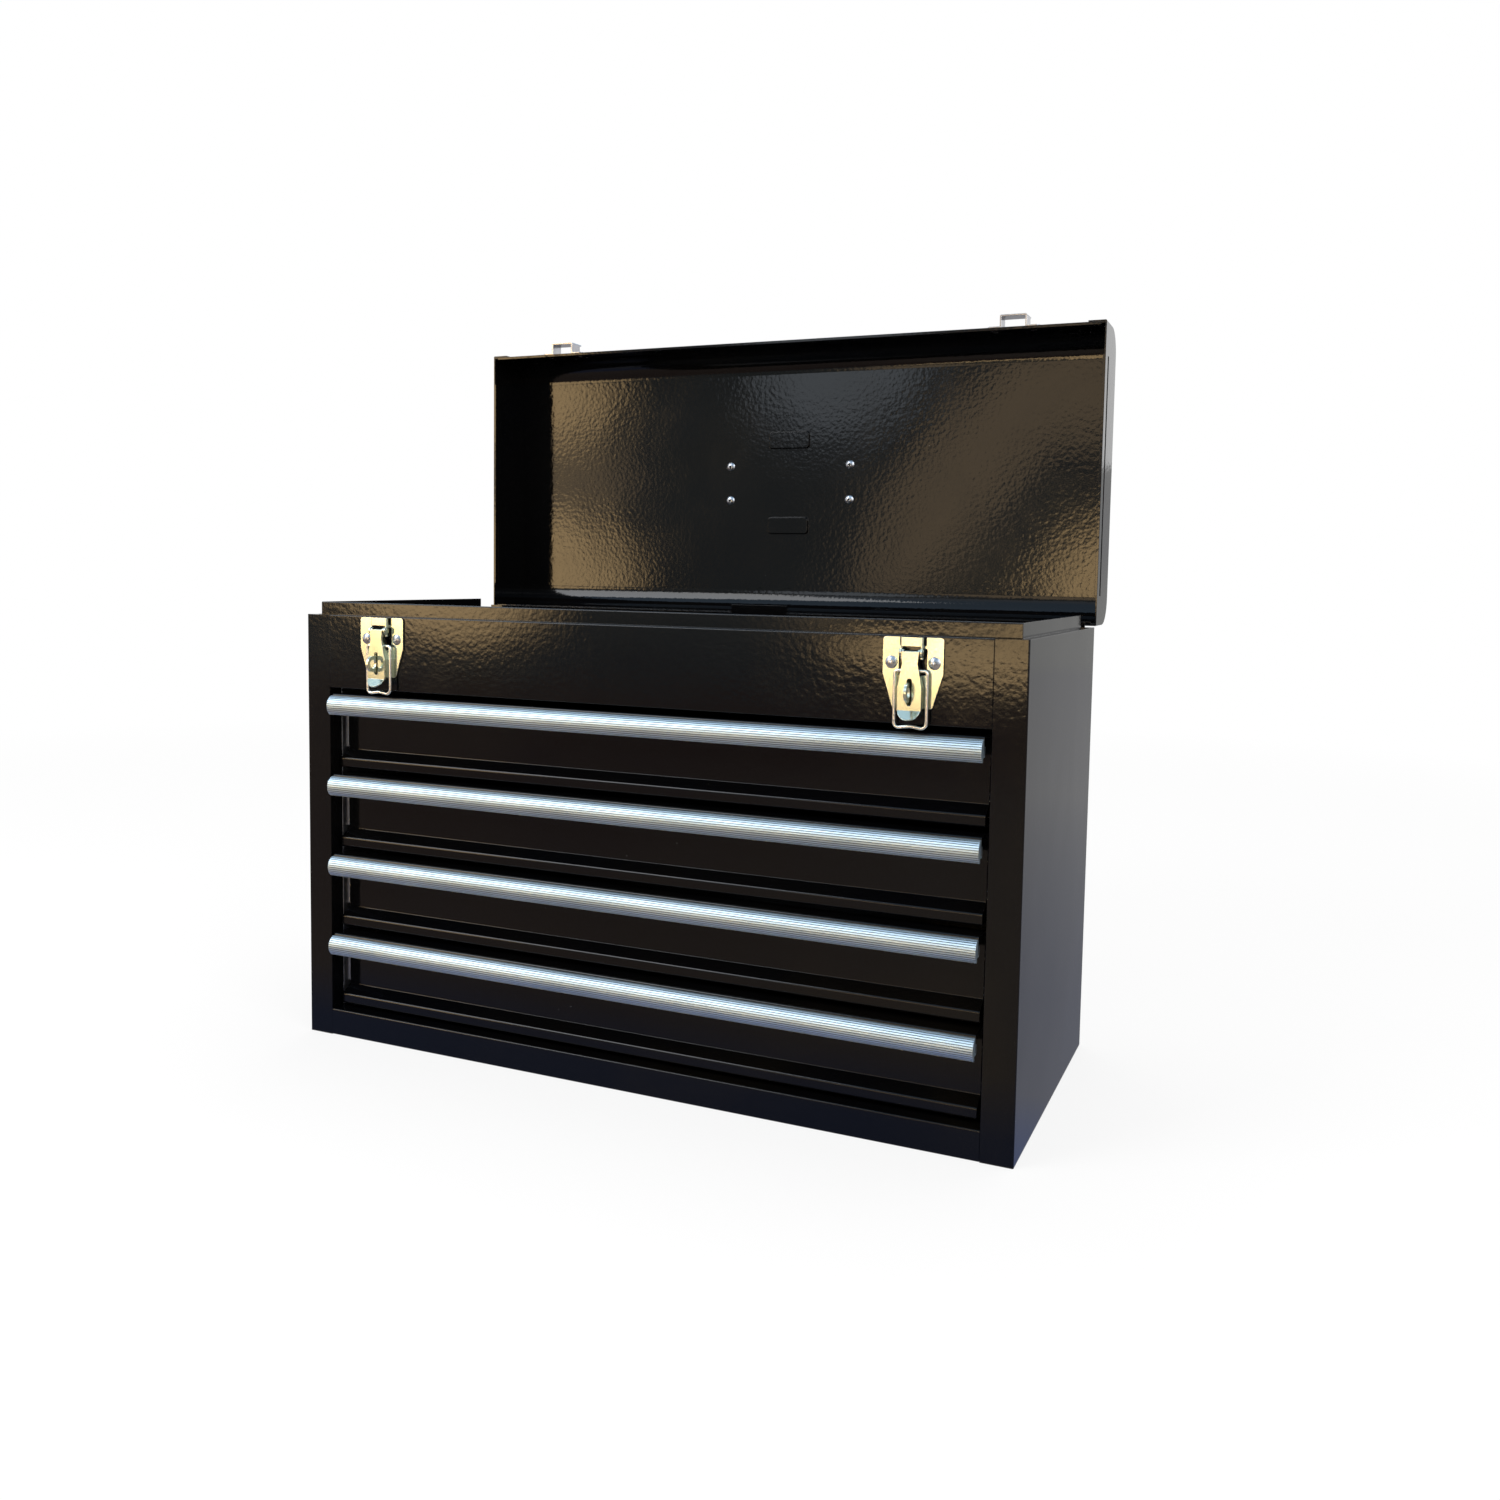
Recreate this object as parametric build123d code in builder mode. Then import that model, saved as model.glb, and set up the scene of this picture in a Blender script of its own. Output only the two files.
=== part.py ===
"""Steel machinist tool chest: four drawers on ball slides under a top till with a hinged lid.

Frame: +Z up, front faces -Y, origin at the centre of the footprint on the base.
The lid stands open, the latches hang undone and the drawers are shut.
Pieces of the lid are drawn shut, then turned about the hinge line.
"""
from build123d import *
from math import asin, atan2, cos, hypot, pi, radians, sin
import os

# ---------------------------------------------------------------- cabinet
width = 520.0
depth = 220.0
body_height = 306.0
sheet = 1.0
sheet_bend = 0.6
wall_round = 0.9
hem_round = 0.8
stile_width = 20.0
return_depth = 12.0
flange_width = 12.0
rail_height = 19.0
till_front_height = 52.0
panel_seam = 0.3

# collar that the lid closes over
collar_height = 9.0
collar_inset_front = 8.0
collar_inset_side = 6.0
collar_inset_back = 3.8
collar_back_height = 3.5
collar_hem = 6.0
collar_side_cut = 21.0
stop_tab_width = 48.0
stop_tab_height = 9.5

# ---------------------------------------------------------------- lid
lid_height = 47.6
lid_rim_gap = 0.4
lid_front_setback = 2.5
lid_corner_radius = 20.0
lid_end_flange = 13.0
lid_lap_gap = 0.05
lid_hem = 6.0
lid_hem_end_gap = 3.0
lid_end_hem = 4.0
lid_end_hem_length = 172.0
lid_end_hem_shift = 1.4
lid_end_groove_rise = 9.5
lid_end_groove_width = 5.0
lid_end_groove_depth = 0.6
lid_open_angle = 90.0

# butt hinge behind the back edge
hinge_width = 48.0
hinge_centre_knuckle = 30.0
hinge_back_offset = 3.85
hinge_drop = 3.15
hinge_barrel_radius = 3.2
hinge_pin_radius = 1.95
hinge_pin_clearance = 0.05
hinge_pin_chamfer = 0.3
hinge_leaf = 1.2
hinge_leaf_height = 20.0
hinge_lid_leaf_height = 14.0
hinge_neck_rise = 1.5
hinge_knuckle_gap = 0.2
hinge_barrel_relief = 0.4

# ---------------------------------------------------------------- drawers
drawer_count = 4
drawer_gap = 4.0
drawer_bottom_gap = 3.0
drawer_side_gap = 4.0
front_recess = 15.0
front_lip_height = 7.0
front_lip_recess = 6.5
front_slope_height = 5.3
front_nose = 1.5
front_foot = 8.0
hem_drop = 11.0
tray_height = 46.0
tray_back_gap = 9.0

# ribbed aluminium pull along the top of each drawer
pull_top_drop = 1.5
pull_height = 13.3
pull_reach_top = 2.0
pull_reach_toe = 3.4
pull_bulge = 3.8
pull_toe = 1.6
pull_floor = 1.3
pull_leg = 1.1
pull_leg_height = 5.0
pull_grip_gap = 0.2
pull_ribs = 10
pull_rib_height = 0.4
pull_land_share = 0.7
pull_groove_start = 0.78
pull_groove_end = 0.92

# ---------------------------------------------------------------- ball slides
slide_width = 10.0
slide_height = 27.0
slide_length = 180.0
slide_sheet = 1.0
slide_set_back = 18.0
slide_rise = 27.0
slide_outer_reach = 7.6
slide_outer_lip = 2.2
slide_inner_reach = 7.0
ball_radius = 1.35
ball_clearance = 0.15
ball_inset = 5.1
ball_rows = 4
ball_pitch = 10.0
cage_sheet = 0.6
cage_margin = 8.0
cage_web_inset = 1.9
cage_reach = 4.4

# ---------------------------------------------------------------- toggle latches
latch_inset = 67.5
latch_sheet = 1.2
latch_width = 36.6
latch_toe_width = 24.0
latch_top_gap = 0.8
latch_shoulder = 21.2
latch_length = 41.5
latch_corner = 2.0
bridge_half_width = 6.8
bridge_stand = 3.2
bridge_height = 5.2
bridge_leg_height = 12.7
bridge_round = 0.96
bridge_slot_width = 1.3
bridge_slot_depth = 4.9
window_half_width = 8.6
window_top = 6.7
window_bottom = 22.2

pivot_drop = 9.7
pivot_stand = 3.0
pivot_radius = 1.2
pivot_clearance = 0.05
pivot_head_radius = 1.8
pivot_head = 0.5
ear_radius = 2.6
ear_gap = 0.3

lever_sheet = 1.0
lever_length = 33.8
lever_top = 0.7
lever_waist_drop = 6.3
lever_waist = 4.6
lever_flare_drop = 20.0
lever_half_width = 7.2
lever_stand = 2.2
lever_flange_back = 1.8
lever_eye_radius = 2.2
lever_slot_width = 3.2
lever_slot_margin = 2.4
finger_tab_angle = 40.0
finger_tab_radius = 6.8

staple_sheet = 1.5
staple_drop = 32.5
staple_reach = 9.8
staple_hole_radius = 3.0
staple_rim = 2.6

bail_wire_radius = 1.0
bail_drop = 10.5
bail_half_width = 9.8
bail_length = 33.6
bail_corner = 3.0
bail_eye_corner = 2.0
bail_kink = 1.4
bail_kink_radius = 9.0
bail_end_inset = 0.9
bail_clearance = 0.05

rivet_radius = 1.6
rivet_clearance = 0.03
rivet_head_radius = 3.8
rivet_head_height = 1.5
rivet_tail_radius = 2.2
rivet_tail_height = 0.9
rivet_hole_radius = 1.1
rivet_hole_depth = 2.6
latch_rivet_offset = 13.0
latch_rivet_drop = 15.7

# catches on the lid's front wall
catch_sheet = 1.2
catch_width = 38.0
catch_height = 12.5
catch_rise = 2.2
catch_bridge_width = 20.0
catch_bridge_reach = 9.5
catch_hook = 2.4
catch_round = 1.08
catch_rivet_offset = 14.4
catch_rivet_head_radius = 2.8
catch_rivet_head_height = 1.1

# ---------------------------------------------------------------- carry handle
grip_radius = 3.5
grip_arm = 35.0
grip_half_width = 65.5
grip_corner = 9.0
grip_chamfer = 0.6
stub_corner = 5.5
stub_length = 20.5
grip_pivot_height = 3.9
bracket_offset = 53.0
bracket_width = 13.0
bracket_sheet = 1.5
bracket_gap = 0.3
bracket_rivet_pitch = 28.2
bracket_foot = 5.6
recess_length = 36.0
recess_width = 14.0
recess_corner = 3.0
recess_depth = 1.8
recess_taper = 20.0

# ---------------------------------------------------------------- worked-out places
half_width = width / 2
front_y = -depth / 2
back_y = depth / 2
inner_half = half_width - sheet
opening_half = half_width - stile_width
rail_half = opening_half - panel_seam
till_bottom = body_height - till_front_height
till_floor_bottom = till_bottom + sheet
drawer_pitch = (till_bottom - rail_height - drawer_bottom_gap) / drawer_count
drawer_height = drawer_pitch - drawer_gap

collar_front_y = front_y + collar_inset_front
collar_side_x = half_width - collar_inset_side
collar_back_y = back_y - collar_inset_back
collar_top = body_height + collar_height

lid_rim = body_height + lid_rim_gap
lid_front = front_y + lid_front_setback
lid_back = back_y
lid_top = lid_rim + lid_height
lid_middle = (lid_front + lid_back) / 2
lid_skin_inset = sheet + lid_lap_gap
panel_top = lid_top - lid_skin_inset
hinge_y = back_y + hinge_back_offset
hinge_z = body_height - hinge_drop
hinge_axis = Axis((0, hinge_y, hinge_z), (1, 0, 0))

face_y = front_y + front_recess
lip_y = front_y + front_lip_recess
nose_y = front_y - front_nose
front_half = opening_half - drawer_side_gap
tray_half = opening_half - slide_width
tray_back_y = back_y - sheet - tray_back_gap

latch_offset = half_width - latch_inset
latch_y = front_y - latch_sheet
latch_top = body_height - latch_top_gap
pivot_z = body_height - pivot_drop
pivot_y = latch_y - pivot_stand
bail_z = pivot_z - bail_drop
staple_z = body_height - staple_drop
staple_y = latch_y - staple_reach
ear_inner = bridge_half_width - latch_sheet
lever_top_half = ear_inner - ear_gap
lever_inner_y = pivot_y - lever_stand
lever_back_y = pivot_y + lever_flange_back

catch_y = lid_front + lid_skin_inset
catch_bottom = lid_rim + catch_rise
grip_pivot_z = panel_top + grip_pivot_height
recess_offset = grip_arm

os.makedirs("parts", exist_ok=True)


# ================================================================ shared helpers
def finish(part, name):
    """Label a piece and write its file."""
    part.label = name
    export_step(part, "parts/" + name + ".step")


def finish_lid(part, name):
    """Turn a piece of the lid, drawn shut, to where it stands open, and write it."""
    finish(part.rotate(hinge_axis, -lid_open_angle), name)


def slab(x, y, z, mode=Mode.ADD):
    """A box between two places on each axis, in the part being built."""
    with Locations(((x[0] + x[1]) / 2, (y[0] + y[1]) / 2, (z[0] + z[1]) / 2)):
        Box(abs(x[1] - x[0]), abs(y[1] - y[0]), abs(z[1] - z[0]), mode=mode)


def rod(plane, places, radius, length, mode=Mode.ADD):
    """Round bars or holes of one radius that start on a plane."""
    with BuildSketch(plane) as section:
        with Locations(*places):
            Circle(radius)
    extrude(section.sketch, amount=length, mode=mode)


def bent_strip(points, thickness):
    """Section of a bent sheet: its first face follows the points, the metal lies to the right."""
    radii = []
    for before, here, after in zip(points, points[1:], points[2:]):
        run_in = (here[0] - before[0], here[1] - before[1])
        run_out = (after[0] - here[0], after[1] - here[1])
        left_turn = run_in[0] * run_out[1] - run_in[1] * run_out[0] > 0
        radii.append(sheet_bend if left_turn else sheet_bend + thickness)
    with BuildLine() as strip:
        FilletPolyline(*points, radius=radii)
        offset(amount=thickness, side=Side.RIGHT)
    make_face(strip.edges())


def rivet(head_radius, head_height, grip, tail_radius, tail_height):
    """A domed rivet along Z: its head stands on Z = 0 and its shank goes down through the grip."""
    dome = (head_radius ** 2 + head_height ** 2) / (2 * head_height)
    half_turn = asin(head_radius / dome) / 2
    shoulder = (dome * sin(half_turn), head_height - dome + dome * cos(half_turn))
    with BuildPart() as body:
        with BuildSketch(Plane.XZ):
            with BuildLine():
                Line((0, head_height), (0, -grip - tail_height))
                Line((0, -grip - tail_height), (tail_radius, -grip - tail_height))
                Line((tail_radius, -grip - tail_height), (tail_radius, -grip))
                Line((tail_radius, -grip), (rivet_radius, -grip))
                Line((rivet_radius, -grip), (rivet_radius, 0))
                Line((rivet_radius, 0), (head_radius, 0))
                ThreePointArc((head_radius, 0), shoulder, (0, head_height))
            make_face()
        revolve(axis=Axis.Z)
    return body.part


# ================================================================ cabinet shell
def side_panel(side, name):
    """Side wall with its front stile, rear flange, top ledge and collar strip."""
    outer = side * half_width
    inner = side * inner_half
    stile = side * opening_half
    collar = side * collar_side_x
    ledge = (body_height - sheet, body_height)
    strip_start = collar_front_y + sheet + panel_seam
    with BuildPart() as panel:
        slab((inner, outer), (front_y, back_y), (0, body_height))
        slab((stile, outer), (front_y, front_y + sheet), (0, body_height))
        slab((stile, stile + side * sheet), (front_y, front_y + return_depth), (sheet, till_floor_bottom))
        slab((outer - side * flange_width, outer), (back_y - 2 * sheet, back_y - sheet),
             (sheet, till_floor_bottom))
        slab((stile, outer), (front_y, collar_front_y + sheet), ledge)
        slab((collar - side * sheet, outer), (front_y, collar_back_y - sheet - panel_seam), ledge)
        slab((collar - side * sheet, collar), (strip_start, back_y - collar_side_cut),
             (body_height - sheet, collar_top))
        wall_edges = panel.edges().filter_by(Axis.Z).filter_by(
            lambda e: abs(abs(e.center().X) - half_width) < sheet / 2 and e.center().Y < 0)
        fillet(wall_edges, wall_round)
    finish(panel.part, name)


side_panel(-1, "side_panel_left")
side_panel(1, "side_panel_right")

with BuildPart() as bottom_panel:
    slab((-inner_half, inner_half), (front_y + sheet, back_y - 2 * sheet), (0, sheet))
    slab((-rail_half, rail_half), (front_y, front_y + sheet), (0, rail_height))
    slab((-rail_half, rail_half), (front_y, front_y + return_depth), (rail_height - sheet, rail_height))
    for side in (-1, 1):
        slab((side * (inner_half - sheet), side * inner_half),
             (front_y + return_depth, back_y - 2 * sheet), (0, flange_width))
    rail_edges = bottom_panel.edges().filter_by(Axis.X).filter_by(
        lambda e: abs(e.center().Y - front_y) < sheet / 2)
    fillet(rail_edges, wall_round)
finish(bottom_panel.part, "bottom_panel")

with BuildPart() as back_panel:
    collar_inner_y = collar_back_y - sheet
    slab((-inner_half, inner_half), (back_y - sheet, back_y), (0, body_height))
    slab((-inner_half, inner_half), (collar_inner_y, back_y), (body_height - sheet, body_height))
    slab((-collar_side_x, collar_side_x), (collar_inner_y, collar_back_y),
         (body_height - sheet, body_height + collar_back_height))
    slab((-stop_tab_width / 2, stop_tab_width / 2), (collar_inner_y, collar_back_y),
         (body_height, body_height + stop_tab_height))
finish(back_panel.part, "back_panel")

with BuildPart() as front_panel:
    collar_inner_y = collar_front_y + sheet
    hem_half = collar_side_x - sheet - panel_seam
    slab((-rail_half, rail_half), (front_y, front_y + sheet), (till_bottom, body_height))
    slab((-rail_half, rail_half), (front_y, front_y + return_depth), (till_bottom, till_floor_bottom))
    slab((-rail_half, rail_half), (front_y, collar_inner_y), (body_height - sheet, body_height))
    slab((-collar_side_x, collar_side_x), (collar_front_y, collar_inner_y), (body_height, collar_top))
    slab((-hem_half, hem_half), (collar_front_y, collar_inner_y + sheet),
         (collar_top - collar_hem, collar_top))
    bends = front_panel.edges().filter_by(Axis.X).filter_by(
        lambda e: e.length > width / 2
        and (abs(e.center().Y - front_y) < sheet / 2 or e.center().Z > collar_top - sheet / 2))
    fillet(bends, hem_round)
    latch_rivet_z = body_height - latch_rivet_drop
    latch_rivet_places = [(side * latch_offset + shift, latch_rivet_z)
                          for side in (-1, 1) for shift in (-latch_rivet_offset, latch_rivet_offset)]
    rod(Plane.XZ.offset(-front_y), latch_rivet_places, rivet_radius + rivet_clearance,
        -2 * sheet, Mode.SUBTRACT)
finish(front_panel.part, "front_panel")

with BuildPart() as till_floor:
    floor_rise = (till_floor_bottom, till_floor_bottom + flange_width)
    slab((-inner_half, inner_half), (front_y + sheet, back_y - sheet),
         (till_floor_bottom, till_floor_bottom + sheet))
    slab((-inner_half, inner_half), (back_y - 2 * sheet, back_y - sheet), floor_rise)
    for side in (-1, 1):
        slab((side * (inner_half - sheet), side * inner_half), (front_y + return_depth, back_y - sheet),
             floor_rise)
finish(till_floor.part, "till_floor")


def slide_liner(side, name):
    """Bent sheet inside each wall that carries the four slides."""
    web = side * opening_half
    wall = side * (inner_half - sheet)
    start = front_y + return_depth + panel_seam
    end = back_y - 2 * sheet - panel_seam
    with BuildPart() as liner:
        slab((web, web + side * sheet), (start, end), (sheet, till_floor_bottom))
        slab((web, wall), (start, start + sheet), (sheet, till_floor_bottom))
        slab((web, wall), (end - sheet, end), (sheet, till_floor_bottom))
    finish(liner.part, name)


slide_liner(-1, "slide_liner_left")
slide_liner(1, "slide_liner_right")


# ================================================================ hinge
barrel_plane = Plane.YZ.offset(-hinge_width / 2)
hinge_line = [(hinge_y, hinge_z)]
centre_half = hinge_centre_knuckle / 2 - hinge_knuckle_gap
leaf_half = hinge_width / 2
pin_bore = hinge_pin_radius + hinge_pin_clearance

with BuildPart() as hinge_leaf_body:
    slab((-leaf_half, leaf_half), (back_y, back_y + hinge_leaf), (hinge_z - hinge_leaf_height, hinge_z))
    rod(barrel_plane, hinge_line, hinge_barrel_radius, hinge_width)
    relief = hinge_barrel_radius + hinge_barrel_relief
    slab((-hinge_centre_knuckle / 2, hinge_centre_knuckle / 2), (back_y - relief, hinge_y + relief),
         (hinge_z - relief, hinge_z + relief), Mode.SUBTRACT)
    rod(barrel_plane, hinge_line, pin_bore, hinge_width, Mode.SUBTRACT)
finish(hinge_leaf_body.part, "hinge_leaf_body")

with BuildPart() as hinge_leaf_lid:
    leaf_front = lid_back - lid_skin_inset
    leaf_foot = lid_rim + hinge_neck_rise
    slab((-leaf_half, leaf_half), (leaf_front, leaf_front + hinge_leaf),
         (leaf_foot, leaf_foot + hinge_lid_leaf_height))
    neck_y = leaf_front + hinge_leaf / 2
    neck_run = hinge_barrel_radius - hinge_leaf / 2
    reach = hypot(hinge_y - neck_y, hinge_z - leaf_foot)
    slope = atan2(hinge_z - leaf_foot, hinge_y - neck_y) + asin(neck_run / reach)
    neck_length = (reach ** 2 - neck_run ** 2) ** 0.5
    neck_plane = Plane(origin=(-centre_half, neck_y, leaf_foot), x_dir=(0, cos(slope), sin(slope)),
                       z_dir=(1, 0, 0))
    with BuildSketch(neck_plane):
        with Locations((neck_length / 2, 0)):
            Rectangle(neck_length, hinge_leaf)
        Circle(hinge_leaf / 2)
    extrude(amount=2 * centre_half)
    rod(Plane.YZ.offset(-centre_half), hinge_line, hinge_barrel_radius, 2 * centre_half)
    rod(Plane.YZ.offset(-centre_half), hinge_line, pin_bore, 2 * centre_half, Mode.SUBTRACT)
finish_lid(hinge_leaf_lid.part, "hinge_leaf_lid")

with BuildPart() as hinge_pin:
    rod(barrel_plane, hinge_line, hinge_pin_radius, hinge_width)
    chamfer(hinge_pin.faces().filter_by(Axis.X).edges(), hinge_pin_chamfer)
finish(hinge_pin.part, "hinge_pin")


# ================================================================ lid
def lid_outline(inset):
    """The lid's end outline, drawn shut, set in from its outside; open ends lie on the rim."""
    radius = lid_corner_radius - inset
    front = lid_front + inset
    back = lid_back - inset
    high = lid_top - inset
    with BuildLine() as outline:
        Line((back, lid_rim), (front, lid_rim))
        Line((front, lid_rim), (front, high - radius))
        RadiusArc((front, high - radius), (front + radius, high), radius)
        Line((front + radius, high), (back - radius, high))
        RadiusArc((back - radius, high), (back, high - radius), radius)
        Line((back, high - radius), (back, lid_rim))
    make_face(outline.edges())


bracket_rivet_places = [(side * bracket_offset, lid_middle + shift)
                        for side in (-1, 1)
                        for shift in (-bracket_rivet_pitch / 2, bracket_rivet_pitch / 2)]
catch_rivet_z = catch_bottom + catch_height / 2
catch_rivet_places = [(side * latch_offset + shift, catch_rivet_z)
                      for side in (-1, 1) for shift in (-catch_rivet_offset, catch_rivet_offset)]

with BuildPart() as lid_shell:
    skin_hem_half = inner_half - lid_hem_end_gap
    inner_inset = lid_skin_inset + sheet
    with BuildSketch(Plane.YZ.offset(-inner_half)):
        lid_outline(lid_skin_inset)
    extrude(amount=2 * inner_half)
    with BuildSketch(Plane.YZ.offset(-half_width)):
        lid_outline(inner_inset)
    extrude(amount=width, mode=Mode.SUBTRACT)
    inner_face = Plane(origin=(0, lid_middle, panel_top - sheet), z_dir=(0, 0, -1))
    with BuildSketch(inner_face):
        with Locations((0, -recess_offset), (0, recess_offset)):
            RectangleRounded(recess_length, recess_width, recess_corner)
    extrude(amount=recess_depth, taper=recess_taper)
    outer_face = Plane(origin=(0, lid_middle, panel_top), z_dir=(0, 0, -1))
    with BuildSketch(outer_face):
        with Locations((0, -recess_offset), (0, recess_offset)):
            RectangleRounded(recess_length - sheet, recess_width - sheet, recess_corner - sheet / 2)
    extrude(amount=recess_depth, taper=recess_taper, mode=Mode.SUBTRACT)
    front_hem_y = lid_front + inner_inset
    back_hem_y = lid_back - inner_inset
    slab((-skin_hem_half, skin_hem_half), (front_hem_y, front_hem_y + sheet), (lid_rim, lid_rim + lid_hem))
    slab((-skin_hem_half, skin_hem_half), (back_hem_y - sheet, back_hem_y), (lid_rim, lid_rim + lid_hem))
    rod(Plane.XZ.offset(-lid_front), catch_rivet_places, rivet_radius + rivet_clearance,
        -(inner_inset + 2 * sheet), Mode.SUBTRACT)
    rod(Plane.XY.offset(panel_top), bracket_rivet_places, rivet_radius + rivet_clearance,
        -2 * sheet, Mode.SUBTRACT)
finish_lid(lid_shell.part, "lid_shell")


def lid_end(side, name):
    """End of the lid: a flat cheek with a flange that laps outside the wrapped skin."""
    lap = side * (half_width - lid_end_flange)
    cheek = side * inner_half
    hem_middle = lid_middle + lid_end_hem_shift
    with BuildPart() as end:
        with BuildSketch(Plane.YZ.offset(lap)):
            lid_outline(0)
        extrude(amount=side * lid_end_flange)
        cheek_rim = end.faces().sort_by(Axis.X)[-1 if side > 0 else 0].edges().filter_by(
            lambda e: e.center().Z > lid_rim + sheet / 2)
        fillet(cheek_rim, wall_round)
        with BuildSketch(Plane.YZ.offset(lap - side * sheet)):
            lid_outline(sheet)
        extrude(amount=side * lid_end_flange, mode=Mode.SUBTRACT)
        slab((cheek - side * sheet, cheek),
             (hem_middle - lid_end_hem_length / 2, hem_middle + lid_end_hem_length / 2),
             (lid_rim, lid_rim + lid_end_hem))
        slab((side * (half_width - lid_end_groove_depth), side * half_width),
             (hem_middle - lid_end_hem_length / 2, hem_middle + lid_end_hem_length / 2),
             (lid_rim + lid_end_groove_rise, lid_rim + lid_end_groove_rise + lid_end_groove_width),
             Mode.SUBTRACT)
    finish_lid(end.part, name)


lid_end(-1, "lid_end_left")
lid_end(1, "lid_end_right")


# ---------------------------------------------------------------- catches
def catch(side, name):
    """Hat-shaped catch on the lid's front wall, with a turned-over top edge for the bail."""
    x = side * latch_offset
    half_bridge = catch_bridge_width / 2
    top = catch_bottom + catch_height
    with BuildPart() as hat:
        foot_y = catch_y - catch_sheet
        tip_y = catch_y - catch_bridge_reach
        slab((x - catch_width / 2, x + catch_width / 2), (foot_y, catch_y), (catch_bottom, top))
        slab((x - half_bridge, x + half_bridge), (tip_y, catch_y), (catch_bottom, top))
        inside = half_bridge - catch_sheet
        slab((x - inside, x + inside), (tip_y + catch_sheet, catch_y), (catch_bottom, top), Mode.SUBTRACT)
        slab((x - half_bridge, x + half_bridge), (tip_y, tip_y + catch_sheet), (top, top + catch_hook))
        foot_corners = hat.edges().filter_by(Axis.Y).filter_by(
            lambda e: abs(abs(e.center().X - x) - catch_width / 2) < sheet / 2)
        fillet(foot_corners, latch_corner)
        bridge_bends = hat.edges().filter_by(Axis.Z).filter_by(
            lambda e: abs(e.center().Y - tip_y) < sheet / 2)
        fillet(bridge_bends, catch_round)
        rod(Plane.XZ.offset(-catch_y), [(x - catch_rivet_offset, catch_rivet_z),
                                        (x + catch_rivet_offset, catch_rivet_z)],
            rivet_radius + rivet_clearance, 2 * catch_sheet, Mode.SUBTRACT)
    finish_lid(hat.part, name)


catch(-1, "catch_left")
catch(1, "catch_right")

catch_rivet = rivet(catch_rivet_head_radius, catch_rivet_head_height, catch_sheet + sheet,
                    rivet_tail_radius, rivet_tail_height)
with BuildPart() as catch_rivets:
    for x, z in catch_rivet_places:
        seat = Plane(origin=(x, catch_y - catch_sheet, z), z_dir=(0, -1, 0))
        add(catch_rivet.moved(seat.location))
finish_lid(catch_rivets.part, "catch_rivets")


# ---------------------------------------------------------------- carry handle
def handle_bracket(side, name):
    """Strap bent over one end of the carry handle, riveted to the lid on both sides of it."""
    bore = grip_radius + bracket_gap
    crown = bore + bracket_sheet
    foot_half = bracket_rivet_pitch / 2 + bracket_foot
    x = side * bracket_offset
    with BuildPart() as strap:
        with BuildSketch(Plane.YZ.offset(x - bracket_width / 2)):
            with Locations((lid_middle, grip_pivot_z)):
                Circle(crown)
            with Locations((lid_middle, (panel_top + grip_pivot_z) / 2)):
                Rectangle(2 * crown, grip_pivot_height)
            with Locations((lid_middle, panel_top + bracket_sheet / 2)):
                Rectangle(2 * foot_half, bracket_sheet)
            with Locations((lid_middle, grip_pivot_z)):
                Circle(bore, mode=Mode.SUBTRACT)
            with Locations((lid_middle, (panel_top + grip_pivot_z) / 2)):
                Rectangle(2 * bore, grip_pivot_height, mode=Mode.SUBTRACT)
        extrude(amount=bracket_width)
        split(bisect_by=Plane.XY.offset(panel_top), keep=Keep.TOP)
        corners = strap.edges().filter_by(Axis.Z).filter_by(
            lambda e: abs(abs(e.center().Y - lid_middle) - foot_half) < sheet / 2)
        fillet(corners, latch_corner)
        places = [(x, lid_middle - bracket_rivet_pitch / 2), (x, lid_middle + bracket_rivet_pitch / 2)]
        rod(Plane.XY.offset(panel_top), places, rivet_radius + rivet_clearance,
            2 * bracket_sheet, Mode.SUBTRACT)
    finish_lid(strap.part, name)


handle_bracket(-1, "handle_bracket_left")
handle_bracket(1, "handle_bracket_right")

handle_rivet = rivet(rivet_head_radius, rivet_head_height, bracket_sheet + sheet,
                     rivet_tail_radius, rivet_tail_height)
with BuildPart() as handle_rivets:
    for x, y in bracket_rivet_places:
        seat = Plane(origin=(x, y, panel_top - sheet), z_dir=(0, 0, -1))
        add(handle_rivet.moved(seat.location))
    rod(Plane.XY.offset(panel_top - sheet - rivet_head_height), bracket_rivet_places,
        rivet_hole_radius, rivet_hole_depth, Mode.SUBTRACT)
finish_lid(handle_rivets.part, "handle_rivets")

with BuildPart() as carry_handle:
    stub_end = grip_half_width - stub_length
    handle_plane = Plane(origin=(0, lid_middle, grip_pivot_z))
    with BuildLine(handle_plane) as handle_path:
        FilletPolyline((-stub_end, 0), (-grip_half_width, 0), (-grip_half_width, grip_arm),
                       (grip_half_width, grip_arm), (grip_half_width, 0), (stub_end, 0),
                       radius=[stub_corner, grip_corner, grip_corner, stub_corner])
    with BuildSketch(Plane(origin=handle_path.line @ 0, z_dir=handle_path.line % 0)):
        Circle(grip_radius)
    sweep()
    chamfer(carry_handle.faces().filter_by(GeomType.PLANE).edges(), grip_chamfer)
finish_lid(carry_handle.part, "carry_handle")


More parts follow.
